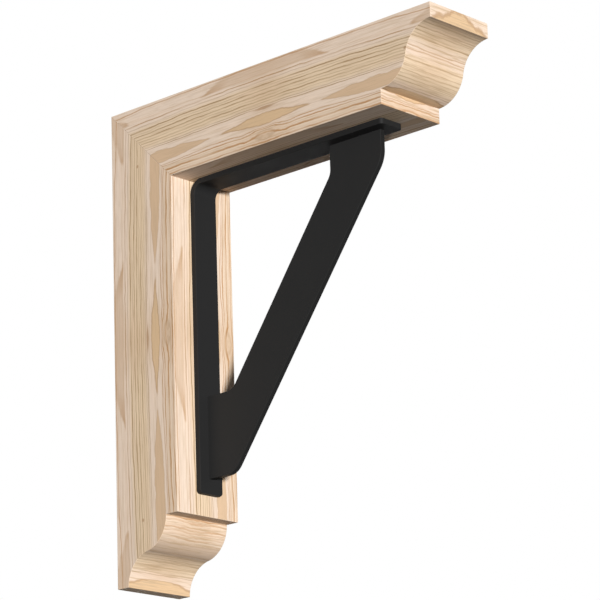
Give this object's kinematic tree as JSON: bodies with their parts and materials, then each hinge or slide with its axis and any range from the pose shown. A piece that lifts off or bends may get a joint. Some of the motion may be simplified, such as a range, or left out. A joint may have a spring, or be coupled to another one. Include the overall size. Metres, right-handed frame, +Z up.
{
  "type": "timber corbel bracket with steel strap and brace",
  "caption": "Right-angled timber wall bracket with mitred corner, moulded free ends, a bent steel strap inside the corner and a diagonal steel plate brace.",
  "frame": {"origin": "centre of the flat wall face of the back leg, halfway up and halfway across", "axes": "+X straight out of the wall along the top arm, +Y across the bracket's width, +Z up along the back leg"},
  "size_m": [0.7112, 0.1396, 0.8128],
  "materials": {
    "softwood": "smooth planed and sanded, unpainted pale fir with tan growth rings",
    "black_powder_coat": "satin black powder coat on steel plate"
  },
  "bodies": {
    "root": {"back_leg": "softwood", "top_arm": "softwood", "steel_strap": "black_powder_coat", "diagonal_brace": "black_powder_coat"}
  },
  "joints": []
}
